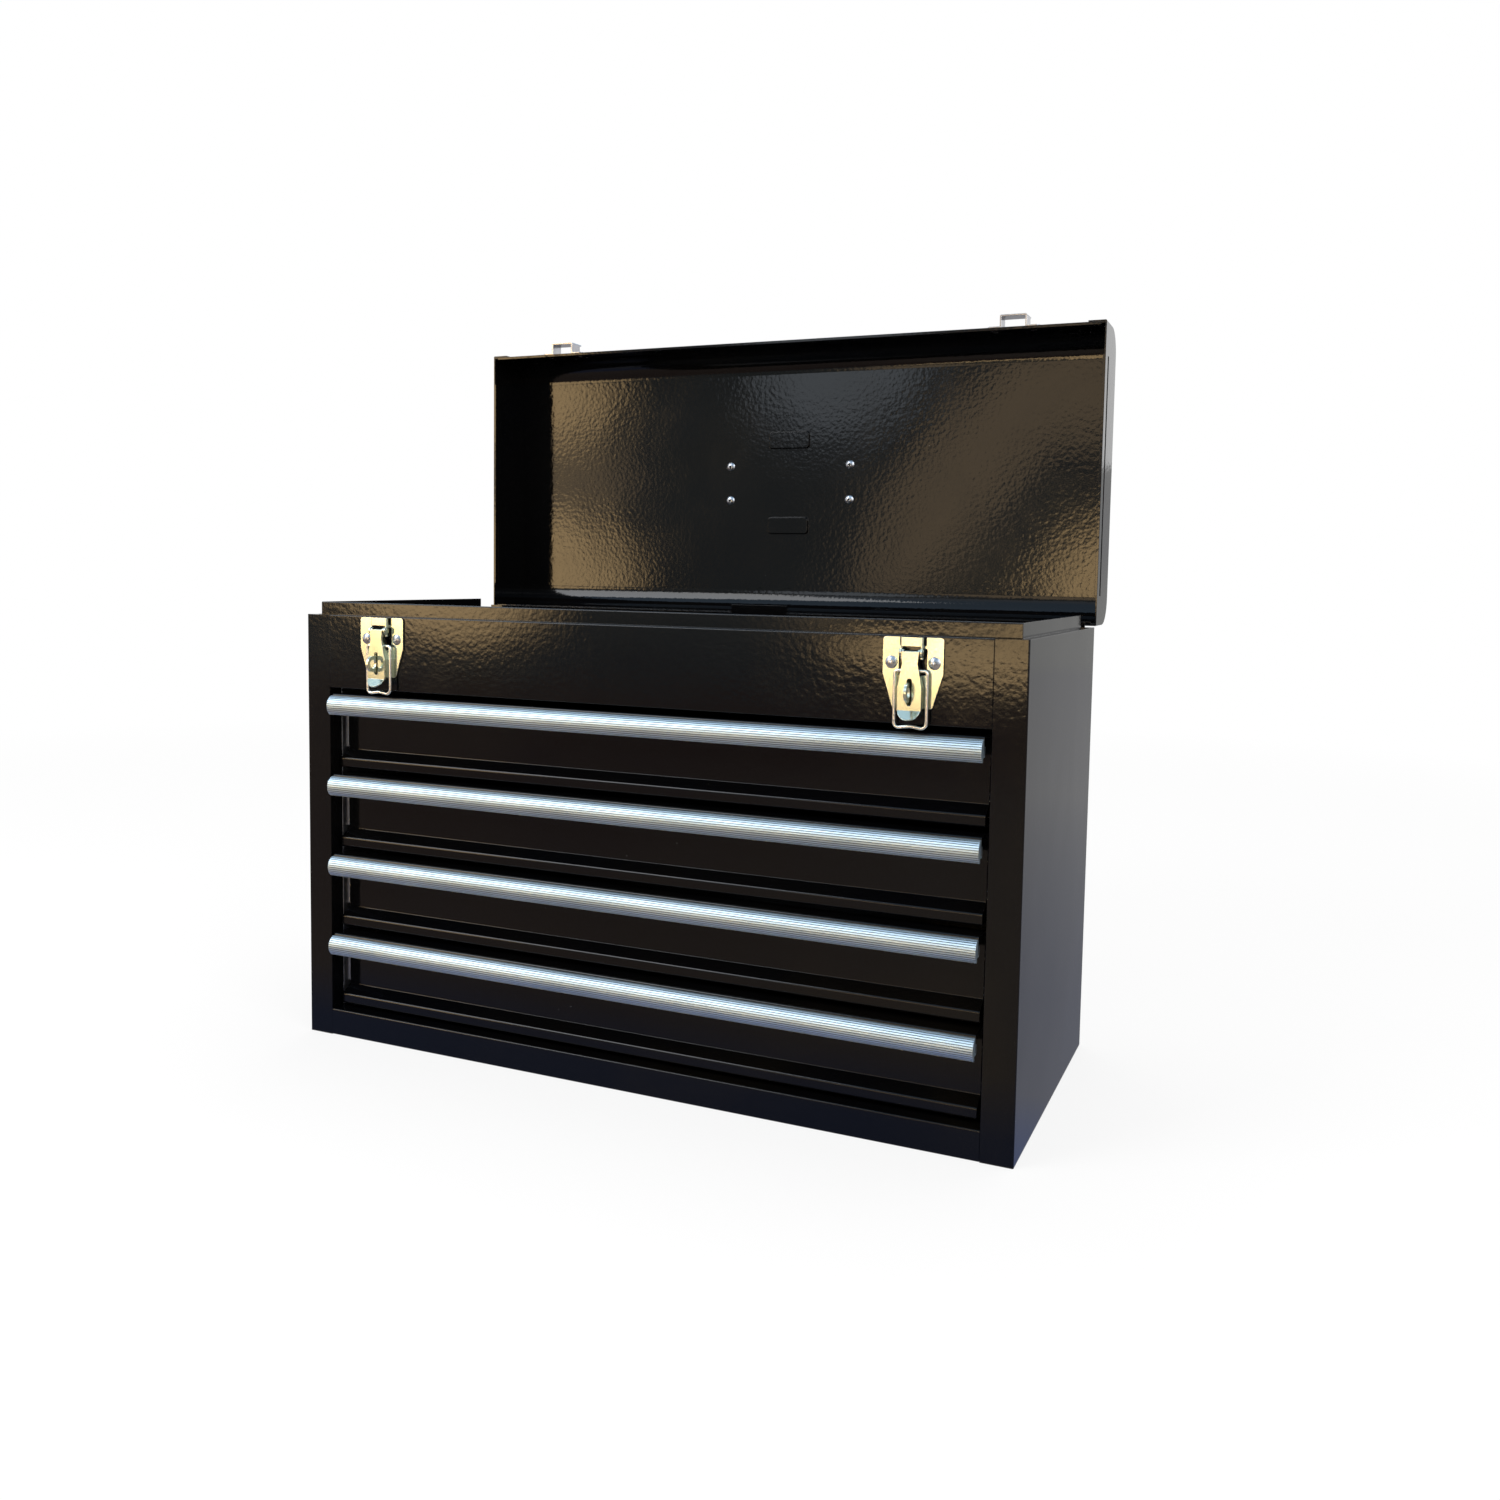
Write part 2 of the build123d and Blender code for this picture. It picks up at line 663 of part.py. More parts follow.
# ================================================================ drawers
def drawer_tray(bottom, name):
    """Folded drawer: the stepped front, its top hem and the box behind it."""
    top = bottom + drawer_height
    slope_top = bottom + front_lip_height + front_slope_height
    with BuildPart() as tray:
        with BuildSketch(Plane.YZ.offset(-front_half)):
            bent_strip([(face_y + front_foot, bottom), (lip_y, bottom), (lip_y, bottom + front_lip_height),
                        (face_y, slope_top), (face_y, top - sheet), (nose_y + sheet, top - sheet),
                        (nose_y + sheet, top - hem_drop)], sheet)
        extrude(amount=2 * front_half)
        slab((-tray_half, tray_half), (face_y + sheet / 2, tray_back_y), (bottom, bottom + sheet))
        slab((-tray_half, tray_half), (tray_back_y - sheet, tray_back_y), (bottom, bottom + tray_height))
        for side in (-1, 1):
            slab((side * (tray_half - sheet), side * tray_half), (face_y + sheet / 2, tray_back_y),
                 (bottom, bottom + tray_height))
    finish(tray.part, name)


def pull_outline(top):
    """The pull's section: a ribbed bulging front over a channel that grips the drawer's hem."""
    high = top - pull_top_drop
    low = high - pull_height
    start_y = nose_y - pull_reach_top
    end_y = nose_y - pull_reach_toe
    half_chord = hypot(end_y - start_y, high - low) / 2
    radius = (half_chord ** 2 + pull_bulge ** 2) / (2 * pull_bulge)
    half_angle = asin(half_chord / radius)
    back_off = (radius - pull_bulge) / (2 * half_chord)
    centre_y = (start_y + end_y) / 2 + back_off * (high - low)
    centre_z = (high + low) / 2 + back_off * (end_y - start_y)
    first = atan2(high - centre_z, start_y - centre_y)
    last = atan2(low - centre_z, end_y - centre_y) + 2 * pi
    hem_bottom = top - hem_drop
    hem_back = nose_y + sheet
    front_gap_y = nose_y - pull_grip_gap
    leg_y = hem_back + pull_grip_gap
    points = [(front_gap_y, high)]
    count = pull_ribs + 1
    step = (last - first) / count
    for index in range(count):
        for share, drop in ((0, 0), (pull_land_share / 2, 0), (pull_land_share, 0),
                            (pull_groove_start, pull_rib_height), (pull_groove_end, pull_rib_height)):
            angle = first + (index + share) * step
            points.append((centre_y + (radius - drop) * cos(angle), centre_z + (radius - drop) * sin(angle)))
    points.append((end_y, low))
    points.append((end_y + pull_toe, low))
    points.append((end_y + pull_toe, hem_bottom - pull_floor))
    points.append((leg_y + pull_leg, hem_bottom - pull_floor))
    points.append((leg_y + pull_leg, hem_bottom + pull_leg_height))
    points.append((leg_y, hem_bottom + pull_leg_height))
    points.append((leg_y, hem_bottom))
    points.append((front_gap_y, hem_bottom))
    with BuildLine() as outline:
        Polyline(*points, close=True)
    make_face(outline.edges())


def drawer_handle(bottom, name):
    """Ribbed aluminium pull along the drawer's whole width."""
    with BuildPart() as pull:
        with BuildSketch(Plane.YZ.offset(-front_half)):
            pull_outline(bottom + drawer_height)
        extrude(amount=2 * front_half)
    finish(pull.part, name)


# ---------------------------------------------------------------- ball slides
slide_start = front_y + slide_set_back
slide_end = slide_start + slide_length
ball_gap = 2 * (ball_radius + ball_clearance)
inner_top = slide_height / 2 - slide_sheet - ball_gap


def slide_outer(side, middle, name):
    """Cabinet member: a channel that opens inwards, with lips that keep the balls in."""
    back = side * opening_half
    mouth = back - side * slide_outer_reach
    high = slide_height / 2
    with BuildPart() as member:
        slab((back - side * slide_sheet, back), (slide_start, slide_end), (middle - high, middle + high))
        for up in (-1, 1):
            edge = middle + up * high
            slab((mouth, back), (slide_start, slide_end), (edge - up * slide_sheet, edge))
            slab((mouth, mouth + side * slide_sheet), (slide_start, slide_end),
                 (edge - up * (slide_sheet + slide_outer_lip), edge))
    finish(member.part, name)


def slide_inner(side, middle, name):
    """Drawer member: a smaller channel, open outwards, that runs on the balls."""
    back = side * tray_half
    mouth = back + side * slide_inner_reach
    with BuildPart() as member:
        slab((back, back + side * slide_sheet), (slide_start, slide_end),
             (middle - inner_top, middle + inner_top))
        for up in (-1, 1):
            edge = middle + up * inner_top
            slab((back, mouth), (slide_start, slide_end), (edge - up * slide_sheet, edge))
    finish(member.part, name)


def slide_cages(middle, name):
    """Ball cages of one drawer's two slides, each with its loose balls."""
    cage_length = (ball_rows - 1) * ball_pitch + 2 * cage_margin
    cage_middle = (slide_start + slide_end) / 2
    cage_y = (cage_middle - cage_length / 2, cage_middle + cage_length / 2)
    ball_height = inner_top + ball_radius + ball_clearance
    with BuildPart() as cages:
        for side in (-1, 1):
            web = side * (opening_half - cage_web_inset)
            web_back = web - side * cage_sheet
            mouth = web - side * cage_reach
            slab((web_back, web), cage_y, (middle - ball_height, middle + ball_height))
            for up in (-1, 1):
                row = middle + up * ball_height
                slab((mouth, web), cage_y, (row - cage_sheet / 2, row + cage_sheet / 2))
        ball_x = tray_half + ball_inset
        for up in (-1, 1):
            for side in (-1, 1):
                centre = (side * ball_x, cage_middle, middle + up * ball_height)
                with Locations(centre):
                    with GridLocations(1, ball_pitch, 1, ball_rows):
                        Cylinder(ball_radius + ball_clearance, 2 * cage_sheet, mode=Mode.SUBTRACT)
                        Sphere(ball_radius)
    finish(cages.part, name)


for number in range(1, drawer_count + 1):
    drawer_bottom = till_bottom - number * drawer_pitch
    slide_middle = drawer_bottom + slide_rise
    drawer_tray(drawer_bottom, "drawer_tray_" + str(number))
    drawer_handle(drawer_bottom, "drawer_handle_" + str(number))
    slide_cages(slide_middle, "slide_cages_" + str(number))
    for side, hand in ((-1, "left"), (1, "right")):
        slide_outer(side, slide_middle, "slide_outer_" + hand + "_" + str(number))
        slide_inner(side, slide_middle, "slide_inner_" + hand + "_" + str(number))


# ================================================================ toggle latches
def latch_base(side, name):
    """Pressed base plate with a raised bridge, ears for the lever's pin and a padlock staple."""
    x = side * latch_offset
    half = latch_width / 2
    toe = latch_toe_width / 2
    shoulder_z = latch_top - latch_shoulder
    toe_z = latch_top - latch_length
    front = Plane.XZ.offset(-latch_y)
    bridge_y = latch_y - bridge_stand
    with BuildPart() as base:
        with BuildSketch(front):
            with BuildLine():
                Polyline((x - half, latch_top), (x + half, latch_top), (x + half, shoulder_z),
                         (x + toe, toe_z), (x - toe, toe_z), (x - half, shoulder_z), close=True)
            make_face()
            fillet(vertices(), latch_corner)
        extrude(amount=-latch_sheet)
        window_z = (latch_top - window_bottom, latch_top - window_top)
        slab((x - window_half_width, x + window_half_width), (latch_y, front_y), window_z, Mode.SUBTRACT)
        slab((x - ear_inner, x + ear_inner), (latch_y, front_y),
             (window_z[0], latch_top), Mode.SUBTRACT)
        slab((x - bridge_half_width, x + bridge_half_width), (bridge_y, bridge_y + latch_sheet),
             (latch_top - bridge_height, latch_top))
        for hand in (-1, 1):
            slab((x + hand * ear_inner, x + hand * bridge_half_width), (bridge_y, front_y),
                 (latch_top - bridge_leg_height, latch_top))
        bridge_bends = base.edges().filter_by(Axis.Z).filter_by(
            lambda e: abs(e.center().Y - bridge_y) < sheet / 4
            and abs(abs(e.center().X - x) - bridge_half_width) < sheet / 4)
        fillet(bridge_bends, bridge_round)
        for hand in (-1, 1):
            slab((x + hand * bridge_half_width, x + hand * (bridge_half_width + bridge_slot_width)),
                 (latch_y, front_y), (latch_top - bridge_slot_depth, latch_top), Mode.SUBTRACT)
        for hand in (-1, 1):
            rod(Plane.YZ.offset(x + hand * ear_inner), [(pivot_y, pivot_z)], ear_radius,
                hand * latch_sheet)
        staple_radius = staple_hole_radius + staple_rim
        with BuildSketch(Plane.YZ.offset(x - staple_sheet / 2)):
            with Locations((staple_y, staple_z)):
                Circle(staple_radius)
            with Locations(((staple_y + latch_y) / 2, staple_z)):
                Rectangle(staple_reach, 2 * staple_radius)
            with Locations((staple_y, staple_z)):
                Circle(staple_hole_radius, mode=Mode.SUBTRACT)
        extrude(amount=staple_sheet)
        rod(Plane.YZ.offset(x - half), [(pivot_y, pivot_z)], pivot_radius + pivot_clearance,
            latch_width, Mode.SUBTRACT)
        rod(front, [(x - latch_rivet_offset, latch_rivet_z), (x + latch_rivet_offset, latch_rivet_z)],
            rivet_radius + rivet_clearance, -latch_sheet, Mode.SUBTRACT)
    finish(base.part, name)


def lever_outline(x, inset):
    """The lever's front outline, narrow at the pivot and wide at the finger end."""
    high = pivot_z + lever_top
    waist_z = pivot_z - lever_waist_drop
    flare_z = pivot_z - lever_flare_drop
    low = pivot_z - lever_length
    half_top = lever_top_half - inset
    half_waist = lever_waist - inset
    half_low = lever_half_width - inset
    with BuildLine() as outline:
        Polyline((x - half_top, high), (x + half_top, high), (x + half_waist, waist_z),
                 (x + half_low, flare_z), (x + half_low, low), (x - half_low, low),
                 (x - half_low, flare_z), (x - half_waist, waist_z), close=True)
    make_face(outline.edges())


def latch_lever(side, name):
    """Channel-shaped lever with a slot for the staple and a bent finger tab."""
    x = side * latch_offset
    web_y = lever_inner_y - lever_sheet
    low = pivot_z - lever_length
    web_plane = Plane.XZ.offset(-web_y)
    channel_depth = lever_back_y - web_y
    slot_half = staple_hole_radius + staple_rim + lever_slot_margin
    with BuildPart() as lever:
        with BuildSketch(web_plane):
            lever_outline(x, 0)
        extrude(amount=-channel_depth)
        for hand in (-1, 1):
            rod(Plane.YZ.offset(x + hand * (lever_top_half - lever_sheet)), [(pivot_y, pivot_z)],
                lever_eye_radius, hand * lever_sheet)
        with BuildSketch(Plane.XZ.offset(-lever_inner_y)):
            lever_outline(x, lever_sheet)
            with Locations((x, pivot_z + lever_top)):
                Rectangle(2 * (lever_top_half - lever_sheet), 2 * lever_eye_radius)
            with Locations((x, low)):
                Rectangle(2 * (lever_half_width - lever_sheet), 2 * lever_sheet)
        extrude(amount=-channel_depth, mode=Mode.SUBTRACT)
        tab_turn = radians(finger_tab_angle)
        tab_plane = Plane(origin=(x, lever_inner_y, low), x_dir=(1, 0, 0),
                          z_dir=(0, -cos(tab_turn), sin(tab_turn)))
        with BuildSketch(tab_plane):
            Circle(finger_tab_radius)
            with Locations((0, finger_tab_radius)):
                Rectangle(2 * lever_half_width, 2 * finger_tab_radius, mode=Mode.SUBTRACT)
        extrude(amount=lever_sheet)
        with BuildSketch(Plane.XZ.offset(-lever_inner_y + lever_sheet / 2)):
            with Locations((x, staple_z)):
                SlotOverall(2 * slot_half, lever_slot_width, rotation=90)
        extrude(amount=2 * lever_sheet, both=True, mode=Mode.SUBTRACT)
        rod(Plane.YZ.offset(x - lever_half_width), [(pivot_y, pivot_z)], pivot_radius + pivot_clearance,
            2 * lever_half_width, Mode.SUBTRACT)
        rod(Plane.YZ.offset(x - lever_half_width), [(pivot_y, bail_z)], bail_wire_radius + bail_clearance,
            2 * lever_half_width, Mode.SUBTRACT)
    finish(lever.part, name)


def latch_pin(side, name):
    """Headed pin through the base's ears and the lever's eyes."""
    x = side * latch_offset
    head = bridge_half_width + pivot_head
    with BuildPart() as pin:
        rod(Plane.YZ.offset(x - head), [(pivot_y, pivot_z)], pivot_radius, 2 * head)
        for hand in (-1, 1):
            rod(Plane.YZ.offset(x + hand * bridge_half_width), [(pivot_y, pivot_z)],
                pivot_head_radius, hand * pivot_head)
    finish(pin.part, name)


def latch_bail(side, name):
    """Wire loop hung in the lever's flanges, with a small rise in its cross bar."""
    x = side * latch_offset
    cross_z = bail_z - bail_length
    eye_drop = (lever_flare_drop - bail_drop) / (lever_flare_drop - lever_waist_drop)
    flange_half = lever_half_width - (lever_half_width - lever_waist) * eye_drop
    end_half = flange_half - lever_sheet - bail_end_inset
    arm = bail_half_width
    with BuildPart() as bail:
        with BuildLine(Plane.XZ.offset(-pivot_y)) as wire:
            FilletPolyline((x - end_half, bail_z), (x - arm, bail_z), (x - arm, cross_z),
                           (x, cross_z + bail_kink), (x + arm, cross_z), (x + arm, bail_z),
                           (x + end_half, bail_z),
                           radius=[bail_eye_corner, bail_corner, bail_kink_radius, bail_corner,
                                   bail_eye_corner])
        with BuildSketch(Plane(origin=wire.line @ 0, z_dir=wire.line % 0)):
            Circle(bail_wire_radius)
        sweep()
    finish(bail.part, name)


for side, hand in ((-1, "left"), (1, "right")):
    latch_base(side, "latch_base_" + hand)
    latch_lever(side, "latch_lever_" + hand)
    latch_pin(side, "latch_pin_" + hand)
    latch_bail(side, "latch_bail_" + hand)

latch_rivet = rivet(rivet_head_radius, rivet_head_height, latch_sheet + sheet,
                    rivet_tail_radius, rivet_tail_height)
with BuildPart() as latch_rivets:
    for x, z in latch_rivet_places:
        seat = Plane(origin=(x, latch_y, z), z_dir=(0, -1, 0))
        add(latch_rivet.moved(seat.location))
finish(latch_rivets.part, "latch_rivets")
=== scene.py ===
"""Machinist tool chest: enamelled cabinet, plated hardware and soft studio light around the CAD frame."""
import math

import bpy
from mathutils import Matrix, Vector

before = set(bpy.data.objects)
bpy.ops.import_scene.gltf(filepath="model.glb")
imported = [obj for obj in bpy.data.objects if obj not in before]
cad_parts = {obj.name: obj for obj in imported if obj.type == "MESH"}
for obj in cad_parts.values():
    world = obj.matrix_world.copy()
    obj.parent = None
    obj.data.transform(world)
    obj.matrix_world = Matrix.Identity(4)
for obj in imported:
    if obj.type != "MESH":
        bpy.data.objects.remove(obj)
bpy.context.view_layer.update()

# ---------------------------------------------------------------- camera, as the photograph was taken
camera_place = Vector((0.4091, -0.8320, 0.3405))
camera_yaw = math.radians(23.37)
camera_pitch = math.radians(-4.26)
camera_roll = math.radians(0.97)
lens_mm = 30.99
sensor_mm = 36.0
lens_shift = (-0.00843, -0.05355)

# ---------------------------------------------------------------- light levels
sky_fill = 0.55
overhead_blue = (0.55, 0.78, 1.05)
overhead_start = 0.25
overhead_full = 0.60
floor_reach = 6.0
floor_tone = (0.92, 0.92, 0.92)
floor_blend_start = 0.75
floor_blend_end = 2.2
floor_glow = 0.82

# soft lamps: name, place, point aimed at, size and watts
soft_lamps = [
    ("key_left", (-1.3, -1.5, 1.7), (0, 0, 0.2), (1.2, 1.2), 26),
    ("fill_right", (1.7, -1.0, 1.4), (0, 0, 0.25), (1.0, 1.4), 14),
    ("top_back", (0.1, 0.5, 2.1), (0, 0, 0.3), (1.6, 0.9), 16),
]

# ---------------------------------------------------------------- room that the gloss reflects
room_front = -2.8
room_back = 4.0
room_height = 1.5
ground_card_rise = 0.0006
gold = (9.0, 6.2, 3.1)
bronze = (2.6, 1.95, 1.25)
slate = (2.0, 2.2, 2.4)
patch_softness = 0.22

# patches on the front wall: middle, half sizes across and up, turn in degrees and glow
warm_patches = [
    ((-2.35, 0.95), (0.45, 0.22), 0, gold),
    ((-2.30, 0.38), (0.48, 0.24), 12, gold),
    ((-2.10, 0.66), (0.30, 0.12), 0, bronze),
    ((-1.05, 1.05), (0.30, 0.25), -20, slate),
    ((-0.62, 0.68), (0.16, 0.55), 38, bronze),
    ((-0.25, 0.90), (0.30, 0.16), 0, bronze),
    ((-0.12, 0.36), (0.26, 0.15), -15, gold),
    ((-0.42, 0.135), (0.44, 0.065), 0, gold),
]


# ---------------------------------------------------------------- finish details
# colour of the painted shade that darkens grooves, rivet feet and close joins
painted_shade_tone = (0.05, 0.05, 0.05)
dust_tone = (0.20, 0.20, 0.19)
enamel_edge = 0.0005


# ================================================================ shader helpers
def bare_material(name):
    """A node material that holds only its output."""
    material = bpy.data.materials.new(name)
    material.use_nodes = True
    tree = material.node_tree
    tree.nodes.clear()
    return material, tree, tree.nodes.new("ShaderNodeOutputMaterial")


def new_material(name):
    """A node material that holds only its output and a Principled shader."""
    material, tree, output = bare_material(name)
    shader = tree.nodes.new("ShaderNodeBsdfPrincipled")
    tree.links.new(shader.outputs[0], output.inputs[0])
    return material, tree, shader


def stretched_coordinates(tree, stretch=(1, 1, 1), turn=(0, 0, 0)):
    """Object coordinates, stretched and turned for one pattern."""
    place = tree.nodes.new("ShaderNodeTexCoord")
    mapping = tree.nodes.new("ShaderNodeMapping")
    mapping.inputs["Scale"].default_value = stretch
    mapping.inputs["Rotation"].default_value = turn
    tree.links.new(place.outputs["Object"], mapping.inputs["Vector"])
    return mapping.outputs[0]


def noise(tree, scale, detail=3.0, roughness=0.5, stretch=(1, 1, 1), turn=(0, 0, 0), distortion=0.0):
    """A noise pattern with a scale in cycles per metre."""
    pattern = tree.nodes.new("ShaderNodeTexNoise")
    pattern.inputs["Scale"].default_value = scale
    pattern.inputs["Detail"].default_value = detail
    pattern.inputs["Roughness"].default_value = roughness
    pattern.inputs["Distortion"].default_value = distortion
    tree.links.new(stretched_coordinates(tree, stretch, turn), pattern.inputs["Vector"])
    return pattern.outputs[0]


def spread(tree, value, low, high, out_low, out_high):
    """Map a pattern's values between two levels onto another range."""
    ranged = tree.nodes.new("ShaderNodeMapRange")
    for socket, number in zip(("From Min", "From Max", "To Min", "To Max"), (low, high, out_low, out_high)):
        ranged.inputs[socket].default_value = number
    tree.links.new(value, ranged.inputs["Value"])
    return ranged.outputs[0]


def colour_steps(tree, value, stops):
    """A colour ramp over a pattern: (place, colour) stops."""
    ramp = tree.nodes.new("ShaderNodeValToRGB")
    elements = ramp.color_ramp.elements
    while len(elements) < len(stops):
        elements.new(1.0)
    for element, (place, colour) in zip(elements, stops):
        element.position = place
        element.color = (*colour, 1.0)
    tree.links.new(value, ramp.inputs[0])
    return ramp.outputs[0]


def mixed(tree, amount, first, second):
    """Two colours mixed by a pattern; either may be a fixed colour."""
    mix = tree.nodes.new("ShaderNodeMix")
    mix.data_type = "RGBA"
    colours = [socket for socket in mix.inputs if socket.type == "RGBA"]
    for socket, colour in zip(colours, (first, second)):
        if isinstance(colour, tuple):
            socket.default_value = (*colour, 1.0)
        else:
            tree.links.new(colour, socket)
    tree.links.new(amount, mix.inputs[0])
    return [socket for socket in mix.outputs if socket.type == "RGBA"][0]


def math_step(tree, operation, first, second):
    """One sum on patterns or plain numbers."""
    step = tree.nodes.new("ShaderNodeMath")
    step.operation = operation
    for socket, value in zip(step.inputs, (first, second)):
        if isinstance(value, (int, float)):
            socket.default_value = value
        else:
            tree.links.new(value, socket)
    return step.outputs[0]


def softened_edges(tree, radius, samples=4):
    """Normals that round every sharp edge a little, so that edges catch the light."""
    edge = tree.nodes.new("ShaderNodeBevel")
    edge.samples = samples
    edge.inputs["Radius"].default_value = radius
    return edge.outputs[0]


def bumped(tree, layers, normal=None):
    """Stack bumps: each layer is (pattern, strength, height in metres)."""
    for pattern, strength, height in layers:
        bump = tree.nodes.new("ShaderNodeBump")
        bump.inputs["Strength"].default_value = strength
        bump.inputs["Distance"].default_value = height
        tree.links.new(pattern, bump.inputs["Height"])
        if normal is not None:
            tree.links.new(normal, bump.inputs["Normal"])
        normal = bump.outputs[0]
    return normal


def edge_highlight_mask(tree, radius, samples=4):
    """1 on sharp edges, where the painted highlight goes, 0 on flats: where the rounded normal leaves the
    true one.
    """
    geometry = tree.nodes.new("ShaderNodeNewGeometry")
    compare = tree.nodes.new("ShaderNodeVectorMath")
    compare.operation = "DOT_PRODUCT"
    tree.links.new(softened_edges(tree, radius, samples), compare.inputs[0])
    tree.links.new(geometry.outputs["Normal"], compare.inputs[1])
    return spread(tree, compare.outputs["Value"], 0.995, 0.86, 0.0, 1.0)


# ================================================================ finishes
def gloss_enamel(name, peel=0.30, wave=0.25):
    """Black baked enamel: orange peel, slow panel waves, smudges and specks of dust."""
    material, tree, shader = new_material(name)
    # a faint warm mottle in the black base colour: a painted warm reflection
    cloud = noise(tree, 7.0, detail=4.0, distortion=0.6)
    painted_warm_reflection = colour_steps(tree, cloud, [(0.30, (0.0016, 0.0018, 0.0026)), (0.55, (0.0026, 0.0024, 0.0024)),
                                      (0.75, (0.0050, 0.0040, 0.0028))])
    specks = tree.nodes.new("ShaderNodeTexVoronoi")
    specks.inputs["Scale"].default_value = 95.0
    tree.links.new(stretched_coordinates(tree), specks.inputs["Vector"])
    grain = noise(tree, 60.0, detail=1.0)
    dust = math_step(tree, "MULTIPLY", spread(tree, specks.outputs["Distance"], 0.035, 0.02, 0.0, 1.0),
                     spread(tree, grain, 0.60, 0.64, 0.0, 0.55))
    tree.links.new(mixed(tree, dust, painted_warm_reflection, dust_tone), shader.inputs["Base Color"])
    smudge = noise(tree, 16.0, detail=6.0, roughness=0.65, distortion=0.8)
    tree.links.new(spread(tree, smudge, 0.3, 0.75, 0.06, 0.13), shader.inputs["Roughness"])
    shader.inputs["Specular IOR Level"].default_value = 0.30
    layers = [(noise(tree, 14.0, detail=1.0), wave, 0.0012),
              (noise(tree, 330.0, detail=2.0, roughness=0.4), peel, 0.00018)]
    tree.links.new(bumped(tree, layers, softened_edges(tree, enamel_edge)), shader.inputs["Normal"])
    return material


def painted_crevice_shade(tree, reach, tone, deep):
    """Painted shade: darken a tone where the faces around stand close, so that narrow grooves read."""
    shade = tree.nodes.new("ShaderNodeAmbientOcclusion")
    shade.samples = 6
    shade.inputs["Distance"].default_value = reach
    return mixed(tree, spread(tree, shade.outputs["AO"], 0.45, 0.95, 1.0, 0.0), tone, deep)


def plated(name, pale, deep, smooth=0.20, rough=0.36, brush=(1, 1, 1), edge_highlight_tone=(0.9, 0.9, 0.9),
           cloud_scale=45.0, line_scale=900.0, edge=0.0004, painted_shade_reach=0.0, relief=0.05):
    """Plated metal: cloudy tone, fine brushing and, where given, painted highlights on sharp edges and
    painted shade in grooves.
    """
    material, tree, shader = new_material(name)
    cloud = noise(tree, cloud_scale, detail=4.0, roughness=0.6)
    tone = colour_steps(tree, cloud, [(0.35, deep), (0.62, pale)])
    # painted highlight: a paler tone mixed onto sharp edges
    if edge:
        tone = mixed(tree, edge_highlight_mask(tree, edge), tone, edge_highlight_tone)
    # painted shade: ambient occlusion darkens the tone in grooves and around rivet feet
    if painted_shade_reach:
        tone = painted_crevice_shade(tree, painted_shade_reach, tone, painted_shade_tone)
    tree.links.new(tone, shader.inputs["Base Color"])
    shader.inputs["Metallic"].default_value = 1.0
    lines = noise(tree, line_scale, detail=2.0, stretch=brush)
    tree.links.new(spread(tree, lines, 0.3, 0.7, smooth, rough), shader.inputs["Roughness"])
    rounded = softened_edges(tree, edge) if edge else None
    layers = [(cloud, relief, 0.0002), (lines, relief, 0.00005)]
    tree.links.new(bumped(tree, layers, rounded), shader.inputs["Normal"])
    return material


enamel = gloss_enamel("black_gloss_enamel")
lid_enamel = gloss_enamel("lid_gloss_enamel", peel=0.42, wave=0.25)
# the paler edge tones given below are painted highlights on sharp edges
zinc = plated("zinc_plate", (0.56, 0.57, 0.59), (0.42, 0.43, 0.46), smooth=0.28, rough=0.46,
              cloud_scale=110.0, edge_highlight_tone=(0.72, 0.73, 0.75))
# the reaches of painted shade given below darken grooves, rivet feet and the pulls' lower edge
pull_aluminium = plated("satin_aluminium", (0.62, 0.73, 0.79), (0.54, 0.65, 0.71), smooth=0.44, rough=0.56,
                        brush=(0.02, 1, 1), cloud_scale=9.0, line_scale=1500.0, edge=0, painted_shade_reach=0.0011)
latch_plate = plated("pale_gold_plate", (0.68, 0.72, 0.60), (0.60, 0.64, 0.51), smooth=0.15, rough=0.23,
                     cloud_scale=60.0, edge_highlight_tone=(0.92, 0.91, 0.84), edge=0.0003, painted_shade_reach=0.0007, relief=0.02)
bail_wire = plated("bright_wire", (0.88, 0.86, 0.80), (0.76, 0.73, 0.66), smooth=0.16, rough=0.28,
                   edge_highlight_tone=(0.93, 0.92, 0.88), edge=0.0002)
catch_plate = plated("bright_nickel", (0.50, 0.50, 0.52), (0.36, 0.36, 0.39), smooth=0.14, rough=0.26,
                     edge_highlight_tone=(0.90, 0.90, 0.92))
rivet_steel = plated("rivet_steel", (0.52, 0.54, 0.57), (0.40, 0.42, 0.45), smooth=0.22, rough=0.34,
                     cloud_scale=300.0, edge_highlight_tone=(0.8, 0.8, 0.82), edge=0.0003, painted_shade_reach=0.0014)
handle_nickel = plated("handle_nickel", (0.80, 0.80, 0.82), (0.70, 0.70, 0.73), smooth=0.14, rough=0.26,
                       edge_highlight_tone=(0.9, 0.9, 0.92))

node_finishes = {
    "lid_": lid_enamel, "side_panel": enamel, "bottom_panel": enamel, "back_panel": enamel,
    "front_panel": enamel, "till_floor": enamel, "drawer_tray": enamel, "drawer_handle": pull_aluminium,
    "slide_": zinc, "hinge_": rivet_steel, "catch_rivets": rivet_steel, "catch_": catch_plate,
    "latch_rivets": rivet_steel, "latch_bail": bail_wire, "latch_": latch_plate,
    "handle_rivets": rivet_steel, "handle_bracket": handle_nickel, "carry_handle": handle_nickel,
}
for node_name, node_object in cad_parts.items():
    finish = next(finish for start, finish in node_finishes.items() if node_name.startswith(start))
    for slot in node_object.material_slots:
        slot.material = finish


# ================================================================ stage
background_rays = ("Is Camera Ray", "Is Glossy Ray", "Is Transmission Ray")


